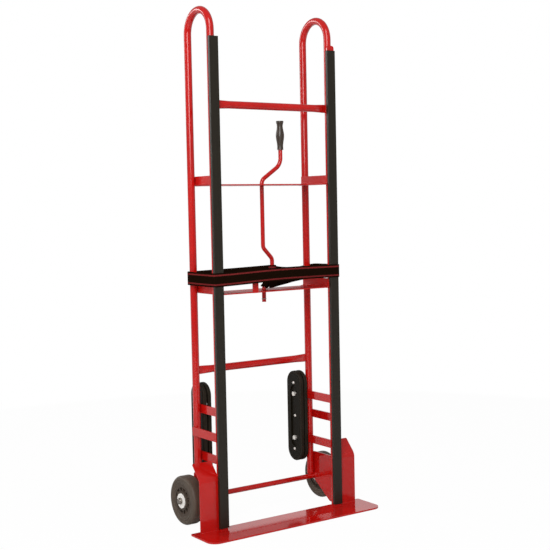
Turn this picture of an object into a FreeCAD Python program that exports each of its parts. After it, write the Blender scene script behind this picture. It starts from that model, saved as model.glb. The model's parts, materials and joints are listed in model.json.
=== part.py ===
import FreeCAD, Part
import math
import os

# An appliance hand truck: two bent side tubes, two sheet shelves, a toe plate, two wheels,
# a stair climber on each side and a hand crank that draws a belt round the load.
# Millimetres, +Z up, +X to the right as seen from the load side, +Y from the load side to the back.
# The origin is on the floor below the middle of the truck.

Vector = FreeCAD.Vector

# Side tubes: one hairpin each, with a loop handle on top
overall_height = 1524.0
rail_width = 419.0
rail_depth = 127.0
tube_diameter = 22.2
tube_wall = 1.8

# Flat bars in front of the side tubes, and the vinyl strips pushed over them
bar_width = 25.4
bar_thickness = 4.8
bar_drop = 21.4
bar_corner = 8.0
strip_front_wall = 3.0
strip_side_wall = 2.0
strip_tube_gap = 1.8
strip_clearance = 0.3
strip_rounding = 1.2
strip_bottom = 10.0
strip_rise_left = 0.5
strip_drop_right = 15.0

# Round crossbars with flattened ends
crossbar_diameter = 22.2
crossbar_end_height = 25.0
top_bar_rise = 231.5
low_bar_gap = 42.0
flat_end_thickness = 5.0
flat_end_length = 10.0
flat_taper_length = 34.0

# Sheet shelves with ends bent up, drilled for the crank
upper_shelf_height = 1006.0
lower_shelf_height = 688.0
shelf_thickness = 3.0
shelf_depth = 112.0
shelf_flange_height = 29.0
shelf_bend = 5.0
shelf_end_relief = 12.0
flange_front_overlap = 6.0
flange_back_overlap = 2.0

# Upright keeper on the lower shelf's front edge
keeper_offset = 74.0
keeper_width = 19.0
keeper_thickness = 4.0
keeper_height = 46.0

# Flat rungs between the tubes of one side
rung_width = 25.4
rung_thickness = 4.8
middle_rung_rise = 5.5
rung_end_overlap = 6.0
outer_rung_back_overlap = 1.0

# Toe plate
toe_margin = 24.4
toe_thickness = 4.8
toe_reach = 91.0
toe_back = 9.0
toe_front_corner = 30.0
toe_back_corner = 4.0

# Wheels on a fixed axle
wheel_diameter = 146.0
axle_forward = 7.0
hub_length = 47.0
tyre_width = 34.0
tread_shoulder = 13.0
tyre_bore_diameter = 96.0
sidewall_drop = 3.0
sidewall_ring_diameter = 101.0
sidewall_ring_width = 3.0
sidewall_ring_height = 1.2
recess_diameter = 78.0
recess_depth = 6.0
hub_diameter = 58.0
hub_rib_count = 12
hub_rib_thickness = 6.0
hub_rib_height = 5.0
bearing_diameter = 28.0
axle_diameter = 15.9
washer_diameter = 44.0
inner_washer_diameter = 34.0
washer_thickness = 2.0
cap_nut_wall = 1.5
cap_nut_length = 10.0
axle_bevel = 1.5
side_play = 0.3
running_clearance = 0.05

# Plates that carry the axle outside the side tubes
wheel_plate_thickness = 3.2
wheel_plate_drop = 5.0
wheel_plate_foot = 42.0
wheel_plate_corner = 10.0
axle_margin = 10.0

# Bent fenders in front of the wheels
fender_thickness = 3.0
fender_width = 64.0
fender_gap = 1.8
fender_bend_height = 157.0
fender_top_rise = 43.0
fender_top_run = 39.5
fender_bend_radius = 28.0
fender_corner = 3.0

# Stair climbers: two belts round two rollers, between two plates
climber_length = 290.0
climber_width = 76.0
climber_thickness = 28.0
climber_set_back = 23.0
climber_rise = 197.0
climber_belt_depth = 8.0
climber_belt_spacing = 4.2
climber_belt_rounding = 2.6
climber_plate_thickness = 4.0
climber_plate_gap = 0.4
climber_slot_width = 36.0
climber_slot_inset = 8.0
roller_pin_diameter = 8.0
roller_rim_depth = 2.0
mount_bar_width = 42.0
mount_bar_gap = 1.0
mount_bar_thickness = 3.0
mount_bar_corner = 6.0
bolt_diameter = 8.0
bolt_gap = 0.5
bolt_head_across = 13.0
bolt_head_height = 6.5
rivet_head_diameter = 9.0
rivet_head_height = 2.6
spacer_wall = 1.5

# Crank: a bent rod through both shelves, with a moulded grip
crank_diameter = 12.7
crank_foot_drop = 34.5
crank_throw = 32.0
crank_arm = 71.0
throw_gap = 0.7
throw_low_rise = 15.5
throw_length = 67.8
throw_high_rise = 34.5
arm_start_rise = 16.0
arm_rise = 48.0
throw_bend = 14.0
high_bend = 18.0
arm_low_bend = 22.0
arm_high_bend = 40.0
grip_rise = 44.5
grip_length = 87.5
grip_bulge_diameter = 25.4
grip_neck_diameter = 18.6
grip_collar_diameter = 19.6
grip_cap_diameter = 22.6
grip_cap_height = 5.0
grip_rod_depth = 74.0
ring_drop = 25.0
ring_thickness = 2.4
ring_stand_out = 0.8
ring_groove_depth = 1.2

# Belt of woven webbing
belt_width = 40.0
belt_thickness = 2.2
belt_clearance = 0.3
belt_gap = 0.5
winding_rise = 8.0
winding_half_turns = 3
bend_half_turns = 3
winding_samples = 48
layer_gap = 0.5
run_drop = 19.0
tail_rise = 6.0

# One overrun for every cut, and the shortest edge worth drawing
overrun = 2.0
least_edge = 0.001

# Shares of the sizes that they follow
grip_bulge_shares = (0.0, 0.16, 0.53, 0.86)
run_length_shares = (0.0, 0.3, 0.6, 0.85, 1.0)
run_drop_shares = (1.0, 0.83, 0.65, 0.45, 0.0)
tail_length_shares = (0.0, 0.26, 0.58, 0.8, 1.0)
tail_rise_shares = (1.0, -0.3, -1.1, -1.3, -1.0)

# Places worked out from the sizes above
tube_radius = tube_diameter / 2
x_rail = rail_width / 2
x_inner = x_rail - tube_radius
x_outer = x_rail + tube_radius
strip_face = tube_radius + bar_thickness + strip_clearance + strip_front_wall
reach_front = strip_face + toe_reach
reach_back = rail_depth - axle_forward + wheel_diameter / 2
y_front = (reach_front - reach_back) / 2
y_rear = y_front + rail_depth
y_mid = (y_front + y_rear) / 2
y_axle = y_rear - axle_forward
loop_radius = rail_depth / 2
loop_height = overall_height - tube_radius - loop_radius
bar_top = loop_height - bar_drop
top_bar_height = upper_shelf_height + top_bar_rise
axle_height = wheel_diameter / 2
axle_radius = axle_diameter / 2
bar_back = y_front - tube_radius
bar_front = bar_back - bar_thickness
strip_half_width = bar_width / 2 + strip_clearance + strip_side_wall
y_strip = y_front - strip_face
x_plate = x_outer + wheel_plate_thickness
x_wheel = x_plate + washer_thickness + 2 * side_play
x_wheel_end = x_wheel + hub_length
x_tyre = x_wheel_end - tyre_width
y_fender = bar_back + strip_clearance + strip_side_wall + fender_gap + fender_thickness / 2
y_climber = y_rear + climber_set_back
x_climber_back = x_inner - rung_thickness
x_climber_face = x_climber_back - climber_thickness
climber_height = axle_height + climber_rise
climber_radius = climber_width / 2
climber_half_span = (climber_length - climber_width) / 2
belt_track_radius = climber_radius - climber_belt_depth
climber_belt_width = (climber_thickness - climber_belt_spacing) / 2 - climber_plate_gap
bolt_offset = climber_half_span - belt_track_radius - bolt_diameter / 2 - spacer_wall - bolt_gap
bolt_heights = (climber_height + bolt_offset, climber_height - bolt_offset)
low_bar_height = climber_height + climber_length / 2 + low_bar_gap
crank_radius = crank_diameter / 2
throw_half_turn = math.atan2(crank_throw, throw_low_rise) / 2
throw_low_start = lower_shelf_height + shelf_thickness + throw_gap + throw_bend * math.tan(throw_half_turn)
throw_low_end = throw_low_start + throw_low_rise
throw_high_start = throw_low_end + throw_length
throw_high_end = throw_high_start + throw_high_rise
arm_start = upper_shelf_height + arm_start_rise
arm_end = arm_start + arm_rise
grip_bottom = arm_end + grip_rise
belt_bottom = lower_shelf_height + shelf_flange_height + belt_gap
winding_bottom = throw_low_end + winding_rise
belt_half = belt_thickness / 2
belt_wrap = tube_radius + belt_clearance + belt_half
belt_corner = strip_rounding + belt_clearance + belt_half
x_belt = x_rail + strip_half_width + belt_clearance + belt_half
y_belt_front = y_strip - belt_clearance - belt_half
half_turn_step = (belt_thickness + layer_gap) / 2
first_turn = crank_radius + belt_clearance + belt_half
last_turn = first_turn + (winding_half_turns - 1) * half_turn_step
slack_turn = last_turn + belt_thickness + layer_gap


def unit(vector):
    """A copy of the vector with length one."""
    return Vector(vector).normalize()


def corner_arc(before, corner, after, radius):
    """Start, middle and end of the arc that rounds a corner."""
    into = unit(corner - before)
    out = unit(after - corner)
    half_turn = into.getAngle(out) / 2
    setback = radius * math.tan(half_turn)
    sagitta = radius / math.cos(half_turn) - radius
    middle = corner + unit(out - into) * sagitta
    return corner - into * setback, middle, corner + out * setback


def line_edge(start, end):
    """A straight edge, or nothing where the two points are one."""
    if start.isEqual(end, least_edge):
        return []
    return [Part.LineSegment(start, end).toShape()]


def rounded_path(points, radii):
    """An open path of straight edges, each inner corner rounded by its radius."""
    edges = []
    start = points[0]
    for before, corner, after, radius in zip(points, points[1:], points[2:], radii):
        first, middle, last = corner_arc(before, corner, after, radius)
        edges += line_edge(start, first)
        edges.append(Part.Arc(first, middle, last).toShape())
        start = last
    return edges + line_edge(start, points[-1])


def rounded_outline(points, radii):
    """A closed outline, each corner rounded by its radius, or sharp where the radius is zero."""
    edges = []
    arcs = []
    for index, corner in enumerate(points):
        radius = radii[index]
        after = points[(index + 1) % len(points)]
        arcs.append(corner_arc(points[index - 1], corner, after, radius) if radius else (corner, None, corner))
    for index, (first, middle, last) in enumerate(arcs):
        edges += line_edge(arcs[index - 1][2], first)
        if middle is not None:
            edges.append(Part.Arc(first, middle, last).toShape())
    return Part.Face(Part.Wire(edges))


def ribbon(points, radii, thickness, normal):
    """A flat face of even thickness along a path, as a bent sheet or a strap seen on edge."""
    sides = [normal.cross(unit(after - before)) for before, after in zip(points, points[1:])]
    wires = []
    for sign in (1, -1):
        shift = sign * thickness / 2
        moved = [points[0] + sides[0] * shift]
        bends = []
        for corner, side, following, radius in zip(points[1:], sides, sides[1:], radii):
            moved.append(corner + (side + following) * (shift / (1 + side.dot(following))))
            turn = 1 if side.cross(following).dot(normal) > 0 else -1
            bends.append(radius - turn * shift)
        moved.append(points[-1] + sides[-1] * shift)
        wires.append((moved, rounded_path(moved, bends)))
    (left, left_edges), (right, right_edges) = wires
    edges = left_edges + line_edge(left[-1], right[-1]) + right_edges[::-1] + line_edge(right[0], left[0])
    return Part.Face(Part.Wire(Part.sortEdges(edges)[0]))


def swept_rod(points, radii, radius):
    """A round rod along a path with rounded corners."""
    spine = Part.Wire(rounded_path(points, radii))
    ring = Part.Wire(Part.makeCircle(radius, points[0], points[1] - points[0]))
    return spine.makePipeShell([ring], True, False)


def obround(half_span, radius, x):
    """A slot-shaped face in the plane across X, upright, centred on the climber."""
    centre = Vector(x, y_climber, climber_height)
    up = Vector(0, 0, half_span)
    side = Vector(0, radius, 0)
    cap = Vector(0, 0, half_span + radius)
    edges = [
        Part.LineSegment(centre + side - up, centre + side + up).toShape(),
        Part.Arc(centre + side + up, centre + cap, centre - side + up).toShape(),
        Part.LineSegment(centre - side + up, centre - side - up).toShape(),
        Part.Arc(centre - side - up, centre - cap, centre + side - up).toShape(),
    ]
    return Part.Face(Part.Wire(edges))


def rod_along_x(radius, x_start, x_end, y, z):
    """A cylinder along X."""
    return Part.makeCylinder(radius, x_end - x_start, Vector(x_start, y, z), Vector(1, 0, 0))


def turned_along_x(points, radii, y, z):
    """A solid of revolution about an X axis, from an outline of (x, distance from the axis) points."""
    outline = rounded_outline([Vector(x, y, z + r) for x, r in points], radii)
    return outline.revolve(Vector(0, y, z), Vector(1, 0, 0), 360)


def hexagon_bar(across, x_start, x_end, y, z):
    """A six-sided bar along X."""
    corner_radius = across / math.sqrt(3)
    corners = []
    for index in range(6):
        angle = math.radians(60 * index)
        corners.append(Vector(x_start, y + corner_radius * math.cos(angle), z + corner_radius * math.sin(angle)))
    face = Part.Face(Part.makePolygon(corners + corners[:1]))
    return face.extrude(Vector(x_end - x_start, 0, 0))


def mirrored(shape):
    """The same piece on the other side of the truck."""
    return shape.mirror(Vector(0, 0, 0), Vector(1, 0, 0))


def save(name, shape):
    """Writes one node, and stops if its solid is not sound."""
    solids = shape.Solids
    if not solids or not all(solid.isValid() for solid in solids):
        raise ValueError(name)
    whole = solids[0] if len(solids) == 1 else Part.makeCompound(solids)
    whole.exportStep("parts/" + name + ".step")
    print(name, len(solids), round(whole.Volume))


def save_pair(name, shape):
    """Writes a piece for the right side and its mirror image for the left."""
    save(name + "_right", shape)
    save(name + "_left", mirrored(shape))


def side_tube():
    """The hairpin tube: rear leg, loop handle, front leg down to the toe plate."""
    rear_foot = Vector(x_rail, y_rear, axle_height + axle_radius + side_play)
    rear_top = Vector(x_rail, y_rear, loop_height)
    crown = Vector(x_rail, y_mid, loop_height + loop_radius)
    front_top = Vector(x_rail, y_front, loop_height)
    front_foot = Vector(x_rail, y_front, toe_thickness)
    spine = Part.Wire([
        Part.LineSegment(rear_foot, rear_top).toShape(),
        Part.Arc(rear_top, crown, front_top).toShape(),
        Part.LineSegment(front_top, front_foot).toShape(),
    ])
    walls = []
    for radius in (tube_radius, tube_radius - tube_wall):
        ring = Part.Wire(Part.makeCircle(radius, rear_foot, Vector(0, 0, 1)))
        walls.append(spine.makePipeShell([ring], True, False))
    return walls[0].cut(walls[1])


def rail_bar():
    """The flat bar welded in front of the tube, with its rounded top corners."""
    left = x_rail - bar_width / 2
    right = x_rail + bar_width / 2
    corners = [(left, toe_thickness), (right, toe_thickness), (right, bar_top), (left, bar_top)]
    outline = rounded_outline([Vector(x, bar_front, z) for x, z in corners], [0, 0, bar_corner, bar_corner])
    return outline.extrude(Vector(0, bar_thickness, 0))


def vinyl_strip(top):
    """The strip pushed over the bar: a thick front, two sides and two lips behind the bar."""
    back = bar_back + strip_clearance
    half_bar = bar_width / 2 + strip_clearance
    lip_depth = strip_clearance + strip_side_wall + strip_tube_gap
    lip_end = math.sqrt(tube_radius ** 2 - (tube_radius - lip_depth) ** 2)
    front_inside = bar_front - strip_clearance
    outer = [
        (-lip_end, back), (-half_bar, back), (-half_bar, front_inside), (half_bar, front_inside), (half_bar, back),
        (lip_end, back), (lip_end, back + strip_side_wall), (strip_half_width, back + strip_side_wall),
        (strip_half_width, y_strip), (-strip_half_width, y_strip), (-strip_half_width, back + strip_side_wall),
        (-lip_end, back + strip_side_wall),
    ]
    radii = [0] * len(outer)
    for index in (7, 8, 9, 10):
        radii[index] = strip_rounding
    face = rounded_outline([Vector(x_rail + x, y, strip_bottom) for x, y in outer], radii)
    return face.extrude(Vector(0, 0, top - strip_bottom))


def flat_end_ring(x, y, z):
    """The closed edge of a flattened crossbar end."""
    half = (crossbar_end_height - flat_end_thickness) / 2
    side = flat_end_thickness / 2
    edges = [
        Part.LineSegment(Vector(x, y + side, z - half), Vector(x, y + side, z + half)).toShape(),
        Part.Arc(Vector(x, y + side, z + half), Vector(x, y, z + half + side), Vector(x, y - side, z + half)).toShape(),
        Part.LineSegment(Vector(x, y - side, z + half), Vector(x, y - side, z - half)).toShape(),
        Part.Arc(Vector(x, y - side, z - half), Vector(x, y, z - half - side), Vector(x, y + side, z - half)).toShape(),
    ]
    return Part.Wire(edges)


def round_ring(x, y, z, radius):
    """A circle across X in four arcs that answer the edges of a flattened end."""
    edges = []
    for index in range(4):
        angles = [math.radians(90 * index + turn) for turn in (-45, 0, 45)]
        spots = [Vector(x, y + radius * math.cos(a), z + radius * math.sin(a)) for a in angles]
        edges.append(Part.Arc(*spots).toShape())
    return Part.Wire(edges)


def crossbar(y, z):
    """A round bar between the side tubes, its ends flattened where they are welded."""
    radius = crossbar_diameter / 2
    x_flat = x_inner - flat_end_length
    x_round = x_flat - flat_taper_length
    half = rod_along_x(radius, 0, x_round, y, z)
    half = half.fuse(Part.makeLoft([
        round_ring(x_round, y, z, radius),
        flat_end_ring(x_flat, y, z),
    ], True, True))
    tongue = Part.Face(flat_end_ring(x_flat, y, z))
    half = half.fuse(tongue.extrude(Vector(flat_end_length, 0, 0)))
    return half.fuse(mirrored(half)).removeSplitter()


def shelf(height):
    """A sheet with its ends bent up against the side tubes, and a hole for the crank."""
    half_sheet = shelf_thickness / 2
    x_sheet = x_inner - half_sheet
    low = height + half_sheet
    top = height + shelf_flange_height
    y_flange = y_front - flange_front_overlap
    flange_length = rail_depth + flange_front_overlap + flange_back_overlap
    points = [
        Vector(-x_sheet, y_flange, top),
        Vector(-x_sheet, y_flange, low),
        Vector(x_sheet, y_flange, low),
        Vector(x_sheet, y_flange, top),
    ]
    profile = ribbon(points, [shelf_bend, shelf_bend], shelf_thickness, Vector(0, 1, 0))
    sheet = profile.extrude(Vector(0, flange_length, 0))
    x_relief = x_inner - shelf_end_relief
    for y_start, y_end in (
        (y_flange - overrun, y_front),
        (y_front + shelf_depth, y_flange + flange_length + overrun),
    ):
        notch = Part.makeBox(
            2 * x_relief, y_end - y_start, shelf_thickness + 2 * overrun,
            Vector(-x_relief, y_start, height - overrun),
        )
        sheet = sheet.cut(notch)
    hole = Part.makeCylinder(
        crank_radius + running_clearance, shelf_thickness + 2 * overrun,
        Vector(0, y_mid, height - overrun),
    )
    return sheet.cut(hole)


def belt_keeper():
    """The round-topped upright on the lower shelf's front edge."""
    low = lower_shelf_height
    left = -keeper_offset - keeper_width / 2
    right = -keeper_offset + keeper_width / 2
    y = y_front - keeper_thickness
    top = low + keeper_height
    shoulder = top - keeper_width / 2
    edges = [
        Part.LineSegment(Vector(left, y, low), Vector(right, y, low)).toShape(),
        Part.LineSegment(Vector(right, y, low), Vector(right, y, shoulder)).toShape(),
        Part.Arc(Vector(right, y, shoulder), Vector(-keeper_offset, y, top), Vector(left, y, shoulder)).toShape(),
        Part.LineSegment(Vector(left, y, shoulder), Vector(left, y, low)).toShape(),
    ]
    return Part.Face(Part.Wire(edges)).extrude(Vector(0, keeper_thickness, 0))


def climber_rung(height):
    """A rung on the inner side, run on behind the rear tube to carry the stair climber."""
    half = rung_width / 2
    y_start = y_front - rung_end_overlap
    x = x_climber_back
    edges = [
        Part.LineSegment(Vector(x, y_climber, height - half), Vector(x, y_start, height - half)).toShape(),
        Part.LineSegment(Vector(x, y_start, height - half), Vector(x, y_start, height + half)).toShape(),
        Part.LineSegment(Vector(x, y_start, height + half), Vector(x, y_climber, height + half)).toShape(),
        Part.Arc(
            Vector(x, y_climber, height + half),
            Vector(x, y_climber + half, height),
            Vector(x, y_climber, height - half),
        ).toShape(),
    ]
    bar = Part.Face(Part.Wire(edges)).extrude(Vector(rung_thickness, 0, 0))
    hole_radius = bolt_diameter / 2 + running_clearance
    return bar.cut(rod_along_x(hole_radius, x - overrun, x_inner + overrun, y_climber, height))


def outer_rung(height):
    """The plain rung on the outer side."""
    length = rail_depth + rung_end_overlap + outer_rung_back_overlap
    corner = Vector(x_outer, y_front - rung_end_overlap, height - rung_width / 2)
    return Part.makeBox(rung_thickness, length, rung_width, corner)


def toe_plate():
    """The flat plate that goes under the load, with rounded front corners."""
    half = x_outer + fender_width + toe_margin
    front = y_strip - toe_reach
    back = y_front + toe_back
    corners = [(-half, front), (half, front), (half, back), (-half, back)]
    radii = [toe_front_corner, toe_front_corner, toe_back_corner, toe_back_corner]
    outline = rounded_outline([Vector(x, y, 0) for x, y in corners], radii)
    return outline.extrude(Vector(0, 0, toe_thickness))


def wheel_plate():
    """The upright plate that ties the tubes, fender and axle together, its lower back corner cut away."""
    front = y_fender + fender_thickness / 2
    foot = y_front + wheel_plate_foot
    back = y_axle + axle_margin
    top = fender_bend_height - wheel_plate_drop
    across = y_axle - foot
    rise = axle_height - toe_thickness
    lean = math.atan2(rise, across) - math.asin(axle_margin / math.hypot(across, rise))
    belly = toe_thickness + (back - foot) * math.tan(lean)
    corners = [(front, toe_thickness), (foot, toe_thickness), (back, belly), (back, top), (front, top)]
    radii = [0, 0, axle_margin, wheel_plate_corner, wheel_plate_corner]
    outline = rounded_outline([Vector(x_outer, y, z) for y, z in corners], radii)
    plate = outline.extrude(Vector(wheel_plate_thickness, 0, 0))
    hole_radius = axle_radius + running_clearance
    return plate.cut(rod_along_x(hole_radius, x_outer - overrun, x_plate + overrun, y_axle, axle_height))


def fender():
    """The bent guard in front of the wheel, leaning back above the bend."""
    points = [
        Vector(x_outer, y_fender, toe_thickness),
        Vector(x_outer, y_fender, fender_bend_height),
        Vector(x_outer, y_fender + fender_top_run, fender_bend_height + fender_top_rise),
    ]
    profile = ribbon(points, [fender_bend_radius], fender_thickness, Vector(1, 0, 0))
    sheet = profile.extrude(Vector(fender_width, 0, 0))
    top = max(edge.CenterOfMass.z for edge in sheet.Edges)
    across_top = [
        edge for edge in sheet.Edges
        if edge.CenterOfMass.z > top - fender_thickness and edge.BoundBox.XLength < fender_thickness
    ]
    return sheet.makeFillet(fender_corner, across_top)


def axle():
    """The fixed axle through both wheel plates and wheels."""
    x_end = x_wheel_end + washer_thickness + 2 * side_play + cap_nut_length / 2
    points = [
        (-x_end, 0), (x_end, 0), (x_end, axle_radius - axle_bevel), (x_end - axle_bevel, axle_radius),
        (-x_end + axle_bevel, axle_radius), (-x_end, axle_radius - axle_bevel),
    ]
    return turned_along_x(points, [0] * len(points), y_axle, axle_height)


def sidewall(face, inwards):
    """One side of the tyre from its bore to its shoulder, with a raised ring near the bore."""
    land = face + inwards * sidewall_drop
    crest = land - inwards * sidewall_ring_height
    ring = sidewall_ring_diameter / 2
    shoulder = wheel_diameter / 2 - tread_shoulder
    return [
        (land, tyre_bore_diameter / 2), (land, ring), (crest, ring), (crest, ring + sidewall_ring_width),
        (land, ring + sidewall_ring_width), (face, shoulder),
    ]


def tyre():
    """The moulded rubber tyre with round shoulders, drawn-in sidewalls and a raised ring on each."""
    radius = wheel_diameter / 2
    near = sidewall(x_tyre, 1)
    far = sidewall(x_wheel_end, -1)
    points = near + [(x_tyre, radius), (x_wheel_end, radius)] + far[::-1]
    shoulder = tread_shoulder - sidewall_drop
    radii = [0] * len(near) + [shoulder, shoulder] + [0] * len(far)
    return turned_along_x(points, radii, y_axle, axle_height)


def hub_ribs(x_start):
    """Ribs that stand round the hub in one recess of the wheel."""
    low = hub_diameter / 2 - overrun
    length = (recess_diameter - hub_diameter) / 2 + 2 * overrun
    corner = Vector(x_start, y_axle - hub_rib_thickness / 2, axle_height + low)
    ribs = []
    for index in range(hub_rib_count):
        rib = Part.makeBox(hub_rib_height, hub_rib_thickness, length, corner)
        rib.rotate(Vector(0, y_axle, axle_height), Vector(1, 0, 0), 360 * index / hub_rib_count)
        ribs.append(rib)
    return ribs


def wheel_core():
    """The wheel centre: a rim, a web and a hub that stands out of a round ribbed recess on both sides."""
    rim = tyre_bore_diameter / 2
    recess = recess_diameter / 2
    hub = hub_diameter / 2
    bore = bearing_diameter / 2 + running_clearance
    near = x_tyre + sidewall_drop
    far = x_wheel_end - sidewall_drop
    points = [
        (near, rim), (near, recess), (near + recess_depth, recess), (near + recess_depth, hub), (x_wheel, hub),
        (x_wheel, bore), (x_wheel_end, bore), (x_wheel_end, hub), (far - recess_depth, hub),
        (far - recess_depth, recess), (far, recess), (far, rim),
    ]
    core = turned_along_x(points, [0] * len(points), y_axle, axle_height)
    return core.multiFuse(hub_ribs(near + recess_depth - hub_rib_height) + hub_ribs(far - recess_depth))


def sleeve_along_x(outer_radius, inner_radius, x_start, x_end, y, z):
    """A plain ring or sleeve along X."""
    points = [(x_start, inner_radius), (x_end, inner_radius), (x_end, outer_radius), (x_start, outer_radius)]
    return turned_along_x(points, [0] * len(points), y, z)


def wheel_bearing():
    """The bearing sleeve pressed in the hub, running on the axle."""
    inner = axle_radius + running_clearance
    return sleeve_along_x(bearing_diameter / 2, inner, x_wheel, x_wheel_end, y_axle, axle_height)


def axle_washers():
    """One washer on each face of a wheel."""
    bore = axle_radius + running_clearance
    outer_start = x_wheel_end + side_play
    inner = sleeve_along_x(
        inner_washer_diameter / 2, bore, x_plate + side_play, x_plate + side_play + washer_thickness,
        y_axle, axle_height,
    )
    outer = sleeve_along_x(
        washer_diameter / 2, bore, outer_start, outer_start + washer_thickness, y_axle, axle_height
    )
    return [inner, outer]


def cap_nut():
    """The domed nut pressed on the axle's end."""
    start = x_wheel_end + washer_thickness + 2 * side_play
    seat = start + cap_nut_length / 2
    bore = axle_radius + running_clearance
    radius = bore + cap_nut_wall
    points = [
        (start, bore), (seat + running_clearance, bore), (seat + running_clearance, 0),
        (start + cap_nut_length, 0), (start + cap_nut_length, radius), (start, radius),
    ]
    return turned_along_x(points, [0, 0, 0, 0, cap_nut_length / 2, 0], y_axle, axle_height)


def climber_belt(x_start):
    """One endless rubber belt of a stair climber, its outer edges rounded."""
    belt = obround(climber_half_span, climber_radius, x_start).extrude(Vector(climber_belt_width, 0, 0))
    rims = [edge for edge in belt.Edges if edge.BoundBox.XLength < climber_belt_rounding]
    belt = belt.makeFillet(climber_belt_rounding, rims)
    core = obround(climber_half_span, belt_track_radius, x_start - overrun)
    return belt.cut(core.extrude(Vector(climber_belt_width + 2 * overrun, 0, 0)))


def climber_holes(shape, x_start, x_end, bolts):
    """Drills a climber plate for its three rivets and, where wanted, its two bolts."""
    for offset in (-climber_half_span, 0, climber_half_span):
        radius = roller_pin_diameter / 2 + running_clearance
        shape = shape.cut(rod_along_x(radius, x_start, x_end, y_climber, climber_height + offset))
    if bolts:
        for height in bolt_heights:
            radius = bolt_diameter / 2 + running_clearance
            shape = shape.cut(rod_along_x(radius, x_start, x_end, y_climber, height))
    return shape


def climber_plate(x_start):
    """A slot-shaped side plate inside the belts' loop."""
    radius = belt_track_radius - climber_plate_gap
    return obround(climber_half_span, radius, x_start).extrude(Vector(climber_plate_thickness, 0, 0))


def climber_face_plate():
    """The plate on the truck's inner side, with its long slot."""
    plate = climber_plate(x_climber_face)
    slot_span = climber_half_span - climber_slot_inset - climber_slot_width / 2
    slot = obround(slot_span, climber_slot_width / 2, x_climber_face - overrun)
    plate = plate.cut(slot.extrude(Vector(climber_plate_thickness + 2 * overrun, 0, 0)))
    return climber_holes(plate, x_climber_face - overrun, x_climber_back, False)


def climber_back_plate():
    """The plate that is clamped against the rungs."""
    plate = climber_plate(x_climber_back - climber_plate_thickness)
    return climber_holes(plate, x_climber_face, x_climber_back + overrun, True)


def mount_bar():
    """The flat bar behind the slot that the two bolts pull on."""
    x = x_climber_face + climber_plate_thickness
    half_width = mount_bar_width / 2
    half_length = climber_half_span - belt_track_radius - mount_bar_gap
    corners = [
        (y_climber - half_width, climber_height - half_length), (y_climber + half_width, climber_height - half_length),
        (y_climber + half_width, climber_height + half_length), (y_climber - half_width, climber_height + half_length),
    ]
    outline = rounded_outline([Vector(x, y, z) for y, z in corners], [mount_bar_corner] * len(corners))
    bar = outline.extrude(Vector(mount_bar_thickness, 0, 0))
    return climber_holes(bar, x - overrun, x_climber_back, True)


def climber_roller(offset):
    """A roller with two tracks, one for each belt."""
    start = x_climber_face + climber_plate_thickness + side_play
    end = x_climber_back - climber_plate_thickness - side_play
    radius = belt_track_radius - side_play
    waist = radius - roller_rim_depth
    bore = roller_pin_diameter / 2 + running_clearance
    middle = (start + end) / 2
    points = [
        (start, bore), (end, bore), (end, radius), (middle + roller_rim_depth, radius), (middle, waist),
        (middle - roller_rim_depth, radius), (start, radius),
    ]
    return turned_along_x(points, [0] * len(points), y_climber, climber_height + offset)


def climber_rivet(offset, seat):
    """A rivet with a domed head on the truck's inner side, its other end flush with the back plate."""
    shank = roller_pin_diameter / 2
    head = rivet_head_diameter / 2
    low = seat - rivet_head_height
    high = x_climber_back
    points = [(low, 0), (high, 0), (high, shank), (seat, shank), (seat, head), (low, head)]
    return turned_along_x(points, [0, 0, 0, 0, 0, rivet_head_height], y_climber, climber_height + offset)


def climber_bolt(height):
    """A hexagon bolt through the mount bar, back plate and rung."""
    seat = x_climber_face + climber_plate_thickness
    head = hexagon_bar(bolt_head_across, seat - bolt_head_height, seat, y_climber, height)
    shank = rod_along_x(bolt_diameter / 2, seat - overrun, x_inner + bolt_head_height + overrun, y_climber, height)
    return head.fuse(shank)


def climber_nut(height):
    """The nut on the rung's outer face."""
    nut = hexagon_bar(bolt_head_across, x_inner, x_inner + bolt_head_height, y_climber, height)
    hole_radius = bolt_diameter / 2 + running_clearance
    return nut.cut(rod_along_x(hole_radius, x_inner - overrun, x_inner + bolt_head_height + overrun, y_climber, height))


def climber_spacer(bore_diameter, z):
    """A sleeve that keeps the mount bar and the back plate apart."""
    start = x_climber_face + climber_plate_thickness + mount_bar_thickness
    end = x_climber_back - climber_plate_thickness
    bore = bore_diameter / 2 + running_clearance
    return sleeve_along_x(bore + spacer_wall, bore, start, end, y_climber, z)


def crank_route():
    """The corners of the crank, from its lower end to inside the grip."""
    route = [
        (0, lower_shelf_height - crank_foot_drop), (0, throw_low_start), (crank_throw, throw_low_end),
        (crank_throw, throw_high_start),
        (0, throw_high_end), (0, arm_start), (crank_arm, arm_end), (crank_arm, grip_bottom + grip_rod_depth),
    ]
    return [Vector(x, y_mid, z) for x, z in route]


def crank_rod():
    """The bent crank: a straight shaft through both shelves, a throw for the belt and an arm for the hand."""
    radii = [throw_bend, throw_bend, high_bend, high_bend, arm_low_bend, arm_high_bend]
    rod = swept_rod(crank_route(), radii, crank_radius)
    return rod.cut(ring_at_foot(crank_radius + overrun, running_clearance))


def ring_at_foot(outer_radius, clearance):
    """A ring in the groove near the crank's lower end, or the groove itself with a clearance."""
    height = ring_thickness + 2 * clearance
    foot = Vector(0, y_mid, lower_shelf_height - ring_drop - height / 2)
    inner_radius = crank_radius - ring_groove_depth - clearance
    return Part.makeCylinder(outer_radius, height, foot).cut(Part.makeCylinder(inner_radius, height, foot))


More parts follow.
